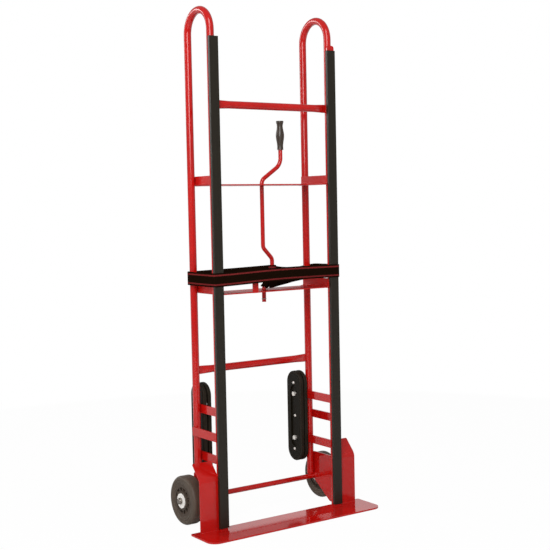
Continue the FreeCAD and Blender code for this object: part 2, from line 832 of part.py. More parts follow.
def crank_grip():
    """The moulded grip: a belly, two necks and a wider cap, closed at the top."""
    shares = grip_bulge_shares
    collar = Vector(crank_arm + grip_collar_diameter / 2, y_mid, grip_bottom + grip_length * shares[0])
    neck = Vector(crank_arm + grip_neck_diameter / 2, y_mid, grip_bottom + grip_length * shares[1])
    belly = Vector(crank_arm + grip_bulge_diameter / 2, y_mid, grip_bottom + grip_length * shares[2])
    throat = Vector(crank_arm + grip_neck_diameter / 2, y_mid, grip_bottom + grip_length * shares[3])
    top = grip_bottom + grip_length
    rim_radius = grip_cap_diameter / 2
    rim_low = Vector(crank_arm + rim_radius, y_mid, top - grip_cap_height)
    rim_high = Vector(crank_arm + rim_radius, y_mid, top)
    bore = crank_radius + running_clearance
    side = Part.BSplineCurve()
    side.interpolate([collar, neck, belly, throat, rim_low])
    bore_top = grip_bottom + grip_rod_depth + side_play
    rest = [
        rim_low, rim_high, Vector(crank_arm, y_mid, top), Vector(crank_arm, y_mid, bore_top),
        Vector(crank_arm + bore, y_mid, bore_top), Vector(crank_arm + bore, y_mid, grip_bottom), collar,
    ]
    edges = [side.toShape()]
    for start, end in zip(rest, rest[1:]):
        edges += line_edge(start, end)
    outline = Part.Face(Part.Wire(edges))
    return outline.revolve(Vector(crank_arm, y_mid, 0), Vector(0, 0, 1), 360)


def crank_ring():
    """The ring that keeps the crank from being drawn up through the lower shelf."""
    return ring_at_foot(crank_radius + ring_stand_out, 0)


def plan_turn(vector, angle):
    """A vector seen from above, turned to the left by an angle."""
    cosine = math.cos(angle)
    sine = math.sin(angle)
    return Vector(vector.x * cosine - vector.y * sine, vector.x * sine + vector.y * cosine, 0)


def tight_tangent(side):
    """The line from behind the winding to behind a rear tube: foot on the winding, foot on the tube, normal."""
    throw = Vector(crank_throw, y_mid, 0)
    tube = Vector(side * x_rail, y_rear, 0)
    apart = tube - throw
    opening = math.acos((last_turn - belt_wrap) / apart.Length)
    normal = plan_turn(unit(apart), side * opening)
    return throw + normal * last_turn, tube + normal * belt_wrap, normal


def slack_tangent():
    """The line from in front of the winding to behind the right rear tube: both feet and the tube's normal."""
    throw = Vector(crank_throw, y_mid, 0)
    tube = Vector(x_rail, y_rear, 0)
    apart = tube - throw
    opening = math.acos((slack_turn + belt_wrap) / apart.Length)
    normal = plan_turn(unit(apart), math.pi - opening)
    return throw - normal * slack_turn, tube + normal * belt_wrap, normal


def side_corner(start, foot, x_side):
    """Where a run, drawn on past its foot on the tube, meets the belt's side."""
    along = unit(foot - start)
    return foot + along * ((x_side - foot.x) / along.x)


def belt_loop():
    """The belt round the outside of the frame, from behind one rear tube to behind the other."""
    left_start, left_foot, left_normal = tight_tangent(-1)
    right_start, right_foot, right_normal = slack_tangent()
    route = [
        left_foot, side_corner(left_start, left_foot, -x_belt), Vector(-x_belt, y_belt_front, 0),
        Vector(x_belt, y_belt_front, 0), side_corner(right_start, right_foot, x_belt), right_foot,
    ]
    face = ribbon(route, [belt_wrap, belt_corner, belt_corner, belt_wrap], belt_thickness, Vector(0, 0, 1))
    face.translate(Vector(0, 0, belt_bottom))
    return face.extrude(Vector(0, 0, belt_width))


def spiral_arcs(centre, normal, half_turns, shift):
    """The half turns of one face of the wound belt, from the rod outwards, as arcs that end along the normal."""
    along = plan_turn(normal, math.pi / 2)
    arcs = []
    for turn in range(half_turns):
        sign = 1 if (half_turns - turn) % 2 else -1
        middle = centre if sign > 0 else centre - normal * half_turn_step
        reach = (first_turn + turn * half_turn_step + shift) * sign
        arcs.append(Part.Arc(middle - normal * reach, middle - along * reach, middle + normal * reach).toShape())
    return arcs


def least_gap(inner_arcs, outer_arcs):
    """The least distance between points on the belt and points on the belt one full turn further out."""
    gaps = []
    for outer, following in zip(outer_arcs, inner_arcs[2:]):
        for point in outer.discretize(winding_samples):
            gaps += [point.distanceToPoint(spot) for spot in following.discretize(winding_samples)]
    return min(gaps)


def spiral_outline(name, centre, normal, half_turns):
    """The wound belt seen on edge, as a closed outline. Prints its least gap to itself."""
    inner_arcs = spiral_arcs(centre, normal, half_turns, -belt_half)
    outer_arcs = spiral_arcs(centre, normal, half_turns, belt_half)
    print(name, "least gap", round(least_gap(inner_arcs, outer_arcs), 3))
    edges = inner_arcs + outer_arcs
    edges += line_edge(inner_arcs[0].Vertexes[0].Point, outer_arcs[0].Vertexes[0].Point)
    edges += line_edge(inner_arcs[-1].Vertexes[-1].Point, outer_arcs[-1].Vertexes[-1].Point)
    return Part.Wire(Part.sortEdges(edges)[0])


def belt_winding():
    """The turns of belt on the crank's throw: a spiral of half turns that ends towards the left rear tube."""
    start, foot, normal = tight_tangent(-1)
    outline = spiral_outline("belt_winding", Vector(crank_throw, y_mid, winding_bottom), normal, winding_half_turns)
    return Part.Face(outline).extrude(Vector(0, 0, belt_width))


def belt_bend_wrap():
    """The turns of belt drawn round the crank's lower bend: the same spiral, swept along the bent rod."""
    foot, low, high, top = crank_route()[:4]
    first, middle, last = corner_arc(foot, low, high, throw_bend)
    spine = [Part.Arc(first, middle, last).toShape()]
    spine += line_edge(last, corner_arc(low, high, top, throw_bend)[0])
    outline = spiral_outline("belt_bend_wrap", first, Vector(0, -1, 0), bend_half_turns)
    return Part.Wire(spine).makePipeShell([outline], True, False)


def loose_strap(start, end, bottoms, shares):
    """A stretch of webbing on edge between two places, with its lower edge at a height of its own at each share."""
    along = unit(end - start)
    side = Vector(-along.y, along.x, 0) * belt_half
    up = Vector(0, 0, belt_width)
    wires = []
    for bottom, share in zip(bottoms, shares):
        low = start + (end - start) * share + Vector(0, 0, bottom)
        wires.append(Part.makePolygon([low - side, low + side, low + side + up, low - side + up, low - side]))
    return Part.makeLoft(wires, True, False)


def belt_left_run():
    """The tight run from the winding to behind the left rear tube."""
    start, foot, normal = tight_tangent(-1)
    start = start + unit(foot - start) * belt_clearance
    return loose_strap(start, foot, (winding_bottom, belt_bottom), (0, 1))


def belt_right_run():
    """The slack run from in front of the crank to behind the right rear tube, lower at the crank."""
    start, foot, normal = slack_tangent()
    bottoms = [belt_bottom - run_drop * share for share in run_drop_shares]
    return loose_strap(start, foot, bottoms, run_length_shares)


def belt_tail():
    """The loose end of the belt behind the slack run, dipping on its way to the tube."""
    winding_foot, tube_foot, winding_normal = tight_tangent(1)
    slack_start, slack_foot, normal = slack_tangent()
    end = slack_foot + normal * (belt_thickness + layer_gap)
    start = winding_foot + unit(end - winding_foot) * slack_turn
    bottoms = [belt_bottom + tail_rise * share for share in tail_rise_shares]
    return loose_strap(start, end, bottoms, tail_length_shares)


os.makedirs("parts", exist_ok=True)

save_pair("side_tube", side_tube())
save_pair("rail_bar", rail_bar())
save("vinyl_strip_right", vinyl_strip(bar_top - strip_drop_right))
save("vinyl_strip_left", mirrored(vinyl_strip(bar_top + strip_rise_left)))
save("top_crossbar", crossbar(y_front, top_bar_height))
save("low_crossbar", crossbar(y_rear, low_bar_height))
save("upper_shelf", shelf(upper_shelf_height))
save("lower_shelf", shelf(lower_shelf_height))
save("belt_keeper", belt_keeper())
save_pair("upper_rung", climber_rung(bolt_heights[0]))
save_pair("middle_rung", outer_rung(climber_height + middle_rung_rise))
save_pair("lower_rung", climber_rung(bolt_heights[1]))
save("toe_plate", toe_plate())
save_pair("wheel_plate", wheel_plate())
save_pair("fender", fender())
save("axle", axle())
save_pair("tyre", tyre())
save_pair("wheel_core", wheel_core())
save_pair("wheel_bearing", wheel_bearing())
washers = axle_washers()
save("axle_washers", Part.makeCompound(washers + [mirrored(washer) for washer in washers]))
save("axle_cap_nuts", Part.makeCompound([cap_nut(), mirrored(cap_nut())]))

x_first_belt = x_climber_face + climber_plate_gap
x_second_belt = x_climber_back - climber_plate_gap - climber_belt_width
save_pair("climber_inner_belt", climber_belt(x_first_belt))
save_pair("climber_outer_belt", climber_belt(x_second_belt))
save_pair("climber_face_plate", climber_face_plate())
save_pair("climber_back_plate", climber_back_plate())
save_pair("climber_mount_bar", mount_bar())
save_pair("climber_upper_roller", climber_roller(climber_half_span))
save_pair("climber_lower_roller", climber_roller(-climber_half_span))
rivets = [climber_rivet(offset, x_climber_face) for offset in (-climber_half_span, climber_half_span)]
rivets.append(climber_rivet(0, x_climber_face + climber_plate_thickness))
bolts = [climber_bolt(height) for height in bolt_heights]
nuts = [climber_nut(height) for height in bolt_heights]
spacers = [climber_spacer(bolt_diameter, height) for height in bolt_heights]
spacers.append(climber_spacer(roller_pin_diameter, climber_height))
for name, solids in (
    ("climber_rivets", rivets), ("climber_bolts", bolts), ("climber_nuts", nuts), ("climber_spacers", spacers),
):
    save(name, Part.makeCompound(solids + [mirrored(solid) for solid in solids]))

save("crank_rod", crank_rod())
save("crank_grip", crank_grip())
save("crank_ring", crank_ring())
save("belt_loop", belt_loop())
save("belt_winding", belt_winding())
save("belt_bend_wrap", belt_bend_wrap())
save("belt_left_run", belt_left_run())
save("belt_right_run", belt_right_run())
save("belt_tail", belt_tail())
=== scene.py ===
# %% [markdown]
# # An appliance hand truck, dressed for a studio picture
# The solids come packed from the construction model, in metres, with +Z up and the toe plate towards -Y.
# Most of the work here is finish: enamel, vinyl, rubber, zinc and woven belt. The belt is built anew,
# because webbing bends and hangs in ways that a solid does not show. So are the tyres, which are wider
# and rounder here than their solids. Beads of weld are added where the frame is joined.

# %% Load the frame
import json
import math

import bmesh
import bpy
from mathutils import Matrix, Vector


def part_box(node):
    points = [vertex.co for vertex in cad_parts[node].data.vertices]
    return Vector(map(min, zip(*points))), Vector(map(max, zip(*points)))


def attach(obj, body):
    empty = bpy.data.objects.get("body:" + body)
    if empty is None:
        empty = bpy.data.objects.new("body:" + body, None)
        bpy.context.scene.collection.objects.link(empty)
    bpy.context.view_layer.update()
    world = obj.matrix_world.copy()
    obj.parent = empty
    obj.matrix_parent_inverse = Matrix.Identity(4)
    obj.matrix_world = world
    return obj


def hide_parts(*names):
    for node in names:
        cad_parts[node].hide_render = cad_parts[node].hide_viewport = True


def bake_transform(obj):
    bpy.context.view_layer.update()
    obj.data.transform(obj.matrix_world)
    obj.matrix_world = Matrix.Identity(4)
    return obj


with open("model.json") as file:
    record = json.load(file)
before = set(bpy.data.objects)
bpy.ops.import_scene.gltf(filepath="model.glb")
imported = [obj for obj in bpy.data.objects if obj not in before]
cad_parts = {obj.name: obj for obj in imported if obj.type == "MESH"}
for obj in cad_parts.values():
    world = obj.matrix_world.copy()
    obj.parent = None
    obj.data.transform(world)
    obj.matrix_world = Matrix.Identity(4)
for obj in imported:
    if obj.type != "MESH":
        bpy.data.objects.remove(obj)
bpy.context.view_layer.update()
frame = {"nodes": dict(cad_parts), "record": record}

scene = bpy.context.scene

# %% [markdown]
# ## Shader arithmetic
# A finish is a small sum: a colour, plus a little noise, times a mask. In the node editor each of these
# steps is a Math node, and a dozen of them hide the idea. So a socket is wrapped in a class that knows
# plus, minus and times, and the sum can be read in one line. Every other node comes from one method.

# %% A socket that can be added and multiplied
class Signal:
    """One value on its way through a node tree. Arithmetic on signals adds Math nodes."""

    def __init__(self, tree, socket):
        self.tree = tree
        self.socket = socket

    def maths(self, operation, first, second=0.0):
        return self.tree.add("ShaderNodeMath", {"operation": operation}, {0: first, 1: second})

    def __add__(self, other):
        return self.maths("ADD", self, other)

    def __radd__(self, other):
        return self.maths("ADD", other, self)

    def __sub__(self, other):
        return self.maths("SUBTRACT", self, other)

    def __rsub__(self, other):
        return self.maths("SUBTRACT", other, self)

    def __mul__(self, other):
        return self.maths("MULTIPLY", self, other)

    def __rmul__(self, other):
        return self.maths("MULTIPLY", other, self)

    def most(self, other):
        return self.maths("MAXIMUM", self, other)

    def least(self, other):
        return self.maths("MINIMUM", self, other)

    def sine(self):
        return self.maths("SINE", self)

    def size(self):
        return self.maths("ABSOLUTE", self)

    def above(self, level):
        return self.maths("GREATER_THAN", self, level)

    def other_output(self, name):
        """Another output of the node that this signal comes from."""
        return Signal(self.tree, self.socket.node.outputs[name])


print("signals can be added, subtracted and multiplied")

# %% [markdown]
# The tree that holds the nodes has one method, add, which makes any node. The others are short names for
# nodes that every finish needs. A Mix node has sockets for numbers, vectors and colours side by side: 6
# and 7 are its two colours, and output 2 is the mixed one.

# %% A node tree that is filled from code
def set_stops(ramp, stops):
    """Puts a ramp's stops at their places, each a grey level."""
    while len(ramp.elements) < len(stops):
        ramp.elements.new(1.0)
    for element, (place, level) in zip(ramp.elements, stops):
        element.position = place
        element.color = (level, level, level, 1.0)


class Tree:
    """A node tree that is filled from code."""

    def __init__(self, node_tree):
        self.nodes = node_tree.nodes
        self.links = node_tree.links
        self.nodes.clear()

    def add(self, kind, settings=None, sockets=None, out=0):
        """Adds any node: its settings first, then the values or links of its sockets."""
        node = self.nodes.new(kind)
        for key, value in (settings or {}).items():
            if key == "stops":
                set_stops(node.color_ramp, value)
            else:
                setattr(node, key, value)
        for key, value in (sockets or {}).items():
            self.feed(node.inputs[key], value)
        return Signal(self, node.outputs[out]) if len(node.outputs) else node

    def feed(self, socket, value):
        if isinstance(value, Signal):
            self.links.new(value.socket, socket)
        else:
            socket.default_value = value

    def mix(self, factor, first, second):
        """A colour between two colours."""
        settings = {"data_type": "RGBA", "clamp_factor": True}
        return self.add("ShaderNodeMix", settings, {0: factor, 6: first, 7: second}, out=2)

    def contrast(self, value, low, high):
        """Stretches a grey value, so that it is nothing at low and one at high."""
        return self.add("ShaderNodeValToRGB", {"stops": ((low, 0.0), (high, 1.0))}, {0: value})

    def smooth(self, value, start, end):
        """Rises softly from nothing at the start to one at the end."""
        settings = {"interpolation_type": "SMOOTHSTEP"}
        return self.add("ShaderNodeMapRange", settings, {0: value, 1: start, 2: end})

    def noise(self, where, scale, detail=3.0, roughness=0.55):
        sockets = {"Vector": where, "Scale": scale, "Detail": detail, "Roughness": roughness}
        return self.add("ShaderNodeTexNoise", None, sockets)

    def place(self, stretch=(1.0, 1.0, 1.0)):
        """Where a point of the truck is, in metres, with each axis stretched."""
        here = self.add("ShaderNodeTexCoord", out="Object")
        return self.add("ShaderNodeVectorMath", {"operation": "MULTIPLY"}, {0: here, 1: stretch})

    def measure(self, operation, first, second=(0.0, 0.0, 0.0)):
        """A number from vectors, such as a length or a dot product."""
        return self.add("ShaderNodeVectorMath", {"operation": operation}, {0: first, 1: second}, out="Value")

    def bump(self, height, strength, depth):
        return self.add("ShaderNodeBump", None, {"Strength": strength, "Distance": depth, "Height": height})


print("node trees ready")

# %% [markdown]
# Colours are easiest to compare with a photograph as they are seen on a screen, but shaders work with
# light. One helper turns a screen colour into light, and another makes a material around one Principled
# shader.

# %% Materials from screen colours
def light(red, green, blue):
    """A screen colour, 0 to 255, as linear light with full alpha."""
    def linear(level):
        share = level / 255
        return share / 12.92 if share <= 0.04045 else ((share + 0.055) / 1.055) ** 2.4
    return (linear(red), linear(green), linear(blue), 1.0)


def finish(name):
    """A new material: its node tree, and a call that sets the shader's sockets."""
    material = bpy.data.materials.new(name)
    material.use_nodes = True
    tree = Tree(material.node_tree)
    shader = tree.nodes.new("ShaderNodeBsdfPrincipled")
    output = tree.nodes.new("ShaderNodeOutputMaterial")
    tree.links.new(shader.outputs[0], output.inputs["Surface"])

    def shade(sockets):
        for key, value in sockets.items():
            tree.feed(shader.inputs[key], value)
        print("finish", name, "has", len(tree.nodes), "nodes")
        return material

    return tree, shade


print("half grey on a screen is", round(light(128, 128, 128)[0], 3), "of the light")

# %% [markdown]
# ## Camera
# The picture was taken from the front left, a little above belt height, with a longish lens and a slight
# tilt. These angles were found by matching the rails, the toe plate and the shelves.

# %% Camera at the photograph's place
camera_place = Vector((-1.8666, -2.7397, 0.9363))
camera_yaw = math.radians(34.648)
camera_pitch = math.radians(3.470)
camera_roll = math.radians(-1.170)
camera_lens = 71.89
sensor_width = 36.0

view_line = Vector((
    math.sin(camera_yaw) * math.cos(camera_pitch),
    math.cos(camera_yaw) * math.cos(camera_pitch),
    -math.sin(camera_pitch),
))
level_right = Vector((math.cos(camera_yaw), -math.sin(camera_yaw), 0.0))
level_up = level_right.cross(view_line)
picture_right = level_right * math.cos(camera_roll) + level_up * math.sin(camera_roll)
picture_up = level_up * math.cos(camera_roll) - level_right * math.sin(camera_roll)
camera_turn = Matrix((picture_right, picture_up, -view_line)).transposed().to_4x4()

camera = bpy.data.objects.new("camera", bpy.data.cameras.new("camera"))
camera.data.sensor_fit = "HORIZONTAL"
camera.data.sensor_width = sensor_width
camera.data.lens = camera_lens
camera.matrix_world = Matrix.Translation(camera_place) @ camera_turn
scene.collection.objects.link(camera)
scene.camera = camera
scene.view_settings.view_transform = "Standard"
print("camera at", tuple(round(v, 3) for v in camera_place))

# %% [markdown]
# ## Studio
# The truck stands on a pale floor before a white sweep, in a room that is dimmer elsewhere. Glossy paint
# shows all of that: plates seen at a slant mirror the sweep, and faces turned to the camera mirror the
# dim room and keep their colour. The floor takes the shadow near the wheels and fades to plain white.
# Light Path says which kind of ray is asking, so the background can be white without lighting the truck.

# %% Which rays see the plain background
plain_kinds = ("Is Camera Ray", "Is Glossy Ray", "Is Transmission Ray")


def background_rays(tree):
    """One for rays that should see the background as it is: camera, glossy and transmission rays."""
    camera_ray, glossy_ray, clear_ray = (tree.add("ShaderNodeLightPath", out=kind) for kind in plain_kinds)
    return camera_ray.most(glossy_ray).most(clear_ray)


print("plain background for", len(plain_kinds), "kinds of rays")

# %% Floor
floor_half = 8.0
floor_drop = 0.0004

floor_mesh = bpy.data.meshes.new("floor")
floor_mesh.from_pydata(
    [(x * floor_half, y * floor_half, -floor_drop) for x, y in ((-1, -1), (1, -1), (1, 1), (-1, 1))],
    [], [(0, 1, 2, 3)],
)
floor = bpy.data.objects.new("floor", floor_mesh)
scene.collection.objects.link(floor)
print("floor is", 2 * floor_half, "m wide")

# %% Paint of the floor
shadow_reach = 1.0
white_reach = 2.4
behind_reach = 0.6
floor_whiteness = 0.97
seen_grey = (0.92, 0.92, 0.92, 1.0)
bounce_grey = (0.75, 0.75, 0.75, 1.0)
pure_white = (1.0, 1.0, 1.0, 1.0)

floor_paint = bpy.data.materials.new("pale_floor")
floor_paint.use_nodes = True
tree = Tree(floor_paint.node_tree)
where = tree.place()
far = tree.smooth(tree.measure("LENGTH", where), shadow_reach, white_reach)
behind = tree.smooth(tree.measure("DOT_PRODUCT", where, view_line), -behind_reach, behind_reach)
camera_ray = tree.add("ShaderNodeLightPath", out="Is Camera Ray")
pale = tree.add("ShaderNodeBsdfDiffuse", None, {"Color": tree.mix(camera_ray, bounce_grey, seen_grey)})
white = tree.add("ShaderNodeEmission", None, {"Color": pure_white})
plain = background_rays(tree) * far * camera_ray.most(behind)
whiteness = plain.most(camera_ray * floor_whiteness)
surface = tree.add("ShaderNodeMixShader", None, {0: whiteness, 1: pale, 2: white})
tree.add("ShaderNodeOutputMaterial", None, {"Surface": surface})
floor_mesh.materials.append(floor_paint)
print("floor is plain white from", white_reach, "m on")

# %% World
room_level = 0.28
front_level = 0.4
sweep_start = 0.55
sweep_full = 0.9
sweep_top = 0.31
sweep_edge = 0.06

world = bpy.data.worlds.new("white_room")
scene.world = world
world.use_nodes = True
tree = Tree(world.node_tree)
direction = tree.add("ShaderNodeTexCoord", out="Generated")
rise = tree.add("ShaderNodeSeparateXYZ", None, {0: direction}, out="Z")
over_the_top = tree.smooth(rise, sweep_top, sweep_top + sweep_edge)
nearness = tree.measure("DOT_PRODUCT", direction, view_line)
sweep = tree.smooth(nearness, sweep_start, sweep_full) * (1.0 - over_the_top)
camera_ray = tree.add("ShaderNodeLightPath", out="Is Camera Ray")
plain_rays = background_rays(tree)
mirrored_level = camera_ray.most(sweep * (1.0 - front_level) + front_level)
strength = plain_rays * mirrored_level + (1.0 - plain_rays) * room_level
sky = tree.add("ShaderNodeBackground", None, {"Color": pure_white, "Strength": strength})
tree.add("ShaderNodeOutputWorld", None, {"Surface": sky})
print("room lights the truck at", room_level)

# %% [markdown]
# Four soft lamps stand round the truck: a large key at the front left, a weak fill at the right, a weak
# one at the left side, and a small one behind on the left, which lightens the left edges of the strips. A
# large area lamp gives soft shadows. Fill and side lamp are kept out of reflections, so that the gloss
# does not show four windows.

# %% Soft lamps
lamp_aim = Vector((0.0, 0.0, 0.75))


def softbox(name, place, width, height, power, mirrored=True):
    """A rectangular lamp that faces the middle of the truck."""
    lamp = bpy.data.lights.new(name, "AREA")
    lamp.shape = "RECTANGLE"
    lamp.size = width
    lamp.size_y = height
    lamp.energy = power
    holder = bpy.data.objects.new(name, lamp)
    holder.location = place
    holder.rotation_euler = (lamp_aim - Vector(place)).to_track_quat("-Z", "Y").to_euler()
    holder.visible_glossy = mirrored
    scene.collection.objects.link(holder)
    print(name, "gives", power, "W")


softbox("key_lamp", (-2.0, -2.4, 2.6), width=2.0, height=3.2, power=112.0)
softbox("fill_lamp", (2.6, -2.4, 2.2), width=0.9, height=2.4, power=20.0, mirrored=False)
softbox("side_lamp", (-3.2, -0.5, 1.3), width=1.2, height=2.0, power=18.0, mirrored=False)
softbox("rim_lamp", (-2.2, 2.9, 2.1), width=0.9, height=1.3, power=26.0)

# %% [markdown]
# ## Red enamel
# The frame is sprayed and baked to a high gloss. Up close such a coat has a faint orange-peel ripple,
# slow changes of depth and a little dust, and flat plates mirror what stands on them. Three finishes
# share the red, so its slow changes come from one helper.

# %% Red of the coat
deep_red = light(176, 14, 10)
bright_red = light(190, 20, 15)


def coat(tree, where, patches):
    """Slow changes in the red coat: how deep it is, and the colour that follows."""
    depth = tree.contrast(tree.noise(where, patches), low=0.3, high=0.7)
    return depth, tree.mix(depth, deep_red, bright_red)


print("red runs from", round(deep_red[0], 3), "to", round(bright_red[0], 3))

# %% Red enamel
dusty_red = light(150, 12, 10)
dust_cover = 0.12
enamel_roughness = 0.11
dust_dulling = 0.006
depth_dulling = 0.01

tree, shade = finish("red_enamel")
where = tree.place()
depth, red = coat(tree, where, patches=7.0)
dust = tree.contrast(tree.noise(where, scale=160.0, detail=4.0), low=0.5, high=0.8)
orange_peel = tree.noise(where, scale=420.0, detail=2.0)
red_enamel = shade({
    "Base Color": tree.mix(dust * dust_cover, red, dusty_red),
    "Roughness": enamel_roughness + dust * dust_dulling + depth * depth_dulling,
    "Specular IOR Level": 0.5,
    "Normal": tree.bump(orange_peel, strength=0.006, depth=0.0003),
})

# %% [markdown]
# The front of the toe plate is dressed down to a shallow lip, so that it slips below a load. Its faces
# could be bent for that. Here a bump turns the surface instead: its height falls towards the front, and a
# little noise makes the line of the lip as uneven as hammered sheet. Feet and boxes have worn the coat in
# streaks.

# %% Lip of the toe plate
def box_of(node):
    """The low and the high corner of a solid's box."""
    low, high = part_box(node)
    return Vector(low), Vector(high)


toe_low, toe_high = box_of("toe_plate")
lip_share = 0.42
lip_slope = 0.06
lip_wander = 0.006
lip_fade_start = 0.1
lip_fade_share = 0.75
lip_line = toe_low.y + (toe_high.y - toe_low.y) * lip_share
print("lip starts at y", round(lip_line, 4))

# %% Enamel of the toe plate
worn_red = light(196, 62, 54)
wear_cover = 0.25
toe_roughness = 0.09
wear_dulling = 0.12
streak_stretch = (60.0, 240.0, 60.0)

tree, shade = finish("toe_enamel")
where = tree.place()
depth, red = coat(tree, where, patches=7.0)
streaks = tree.noise(tree.place(streak_stretch), scale=1.0, detail=4.0)
wear = tree.contrast(streaks, low=0.55, high=0.8)
to_side = tree.add("ShaderNodeSeparateXYZ", None, {0: where})
to_front = to_side.other_output("Y") + tree.noise(where, scale=8.0) * lip_wander
flat_end = tree.smooth(to_side, lip_fade_start, toe_high.x * lip_fade_share)
lip = (to_front - lip_line).least(0.0) * (1.0 - flat_end) * lip_slope
toe_enamel = shade({
    "Base Color": tree.mix(wear * wear_cover, red, worn_red),
    "Roughness": toe_roughness + wear * wear_dulling + depth * depth_dulling,
    "Specular IOR Level": 0.5,
    "Normal": tree.bump(lip, strength=1.0, depth=1.0),
})

# %% [markdown]
# Belts and boxes rub over the shelves, so the coat there has lost its gloss and shows fine scratches from
# front to back. It is the same red with a higher roughness, and a noise that is stretched along Y stands
# for the scratches.

# %% Scuffed enamel of the shelves
scratched_red = light(205, 70, 62)
scratch_cover = 0.2
scuffed_roughness = 0.38
scratch_dulling = 0.12
scuff_dulling = 0.05
scratch_stretch = (520.0, 14.0, 520.0)

tree, shade = finish("scuffed_enamel")
where = tree.place()
depth, red = coat(tree, where, patches=9.0)
rubbing = tree.noise(tree.place(scratch_stretch), scale=1.0, detail=3.0)
scratches = tree.contrast(rubbing, low=0.52, high=0.75)
scuffed_enamel = shade({
    "Base Color": tree.mix(scratches * scratch_cover, red, scratched_red),
    "Roughness": scuffed_roughness + scratches * scratch_dulling + depth * scuff_dulling,
    "Specular IOR Level": 0.35,
    "Normal": tree.bump(scratches, strength=0.05, depth=0.0002),
})

# %% [markdown]
# ## Black pieces
# Extruded vinyl shows fine draw lines along its length: a noise that is squeezed across the strip and
# drawn out along it gives such lines.

# %% Vinyl of the rail strips
line_cover = 0.5
vinyl_roughness = 0.36
line_dulling = 0.14
line_stretch = (420.0, 420.0, 1.2)

tree, shade = finish("strip_vinyl")
draw_lines = tree.noise(tree.place(line_stretch), scale=1.0, detail=2.0)
patches = tree.noise(tree.place(), scale=14.0)
vinyl_tone = tree.mix(patches, light(22, 18, 9), light(29, 24, 14))
strip_vinyl = shade({
    "Base Color": tree.mix(draw_lines * line_cover, vinyl_tone, light(38, 32, 21)),
    "Roughness": vinyl_roughness + draw_lines * line_dulling,
    "Specular IOR Level": 0.38,
    "Normal": tree.bump(draw_lines, strength=0.12, depth=0.0003),
})

# %% [markdown]
# Moulded rubber is dull and mottled, the pressed plates carry thin black paint, and plated steel is
# cloudy. All of these vary in the same way: patches of two tones, a shine that changes with them, and a
# fine grain. So one helper makes them, and what tells them apart is the numbers that it is given.

# %% A mottled finish
grain_detail = 2.0


def mottled(name, dark, pale, scale, grain, roughness, dulling, constants, detail=3.0, soft=0.55):
    """A finish in patches of two tones, with a grain given by its scale, strength and depth."""
    tree, shade = finish(name)
    where = tree.place()
    tone = tree.noise(where, scale, detail, soft)
    grain_scale, grain_strength, grain_depth = grain
    bumps = tree.noise(where, grain_scale, grain_detail)
    return shade({
        "Base Color": tree.mix(tone, dark, pale),
        "Roughness": roughness + tone * dulling,
        "Normal": tree.bump(bumps, grain_strength, grain_depth),
        **constants,
    })


print("grain has", grain_detail, "levels of detail")

# %% Rubber, paint and moulded black
tyre_rubber = mottled(
    "tyre_rubber", light(58, 48, 38), light(92, 79, 67), scale=34.0, detail=5.0, soft=0.65,
    grain=(900.0, 0.25, 0.0004), roughness=0.46, dulling=0.2, constants={"Specular IOR Level": 0.42},
)
wheel_black = mottled(
    "wheel_black", light(56, 46, 38), light(82, 70, 60), scale=60.0, detail=4.0,
    grain=(700.0, 0.2, 0.0003), roughness=0.5, dulling=0.2, constants={"Specular IOR Level": 0.25},
)
black_paint = mottled(
    "black_paint", light(15, 12, 6), light(29, 24, 16), scale=30.0,
    grain=(500.0, 0.08, 0.0003), roughness=0.36, dulling=0.2, constants={"Specular IOR Level": 0.1},
)
climber_rubber = mottled(
    "climber_rubber", light(22, 18, 11), light(42, 35, 26), scale=48.0, detail=5.0, soft=0.65,
    grain=(800.0, 0.2, 0.0003), roughness=0.5, dulling=0.25, constants={"Specular IOR Level": 0.16},
)
grip_rubber = mottled(
    "grip_rubber", light(44, 35, 26), light(66, 55, 44), scale=40.0,
    grain=(1400.0, 0.12, 0.0003), roughness=0.28, dulling=0.1, constants={"Specular IOR Level": 0.6},
)

# %% [markdown]
# ## Zinc
# Bolts, rivets and washers are plated. Zinc has a cloudy, slightly yellow cast and a satin shine. The
# washers are paler than the bolts, and the cap nuts are plain dull steel. The ring under the belt gets the
# same dark steel, which there also stands for the belt's shade on it: painted shade.

# %% Zinc and steel
zinc_plate = mottled(
    "zinc_plate", light(222, 217, 209), light(244, 240, 233), scale=180.0, detail=4.0,
    grain=(1500.0, 0.1, 0.0002), roughness=0.3, dulling=0.16, constants={"Metallic": 0.55},
)
pale_zinc = mottled(
    "pale_zinc", light(236, 232, 226), light(248, 245, 240), scale=90.0, detail=4.0,
    grain=(1500.0, 0.06, 0.0002), roughness=0.4, dulling=0.15, constants={"Metallic": 0.1},
)
# Dull steel, darker than zinc; on the ring under the belt the darkness is also painted shade.
dull_steel_and_painted_shade = mottled(
    "dull_steel_and_painted_shade", light(120, 114, 108), light(164, 158, 150), scale=260.0, detail=4.0,
    grain=(1200.0, 0.15, 0.0002), roughness=0.3, dulling=0.2, constants={"Metallic": 1.0},
)

# %% [markdown]
# ## Woven belt
# Webbing is woven from thick yarns: ridges run across it, and a coloured yarn near each edge makes a
# stripe. The mesh carries a map whose first number is the distance along the belt in metres, and whose
# second runs from edge to edge. Ridges and stripes follow that map, so they turn every corner with the
# belt.

# %% Weave and stripes
belt_width = 0.040
belt_thickness = 0.0022
stripe_offset = 0.0134
stripe_width = 0.0045
rib_pitch = 0.0016
yarn_pitch = 0.0013
rib_height = 0.35
yarn_height = 0.25
weave_middle = 0.5

tree, shade = finish("woven_belt")
woven_map = tree.add("ShaderNodeUVMap", {"uv_map": "woven"})
along = tree.add("ShaderNodeSeparateXYZ", None, {0: woven_map})
across = along.other_output("Y")
off_centre = ((across - 0.5) * belt_width).size()
stripe = 1.0 - ((off_centre - stripe_offset).size()).above(stripe_width / 2)
ribs = (along * (2 * math.pi / rib_pitch)).sine()
yarns = (across * (2 * math.pi * belt_width / yarn_pitch)).sine()
weave = ribs * rib_height + yarns * yarn_height + weave_middle
print("webbing has", round(belt_width / yarn_pitch), "yarns side by side")

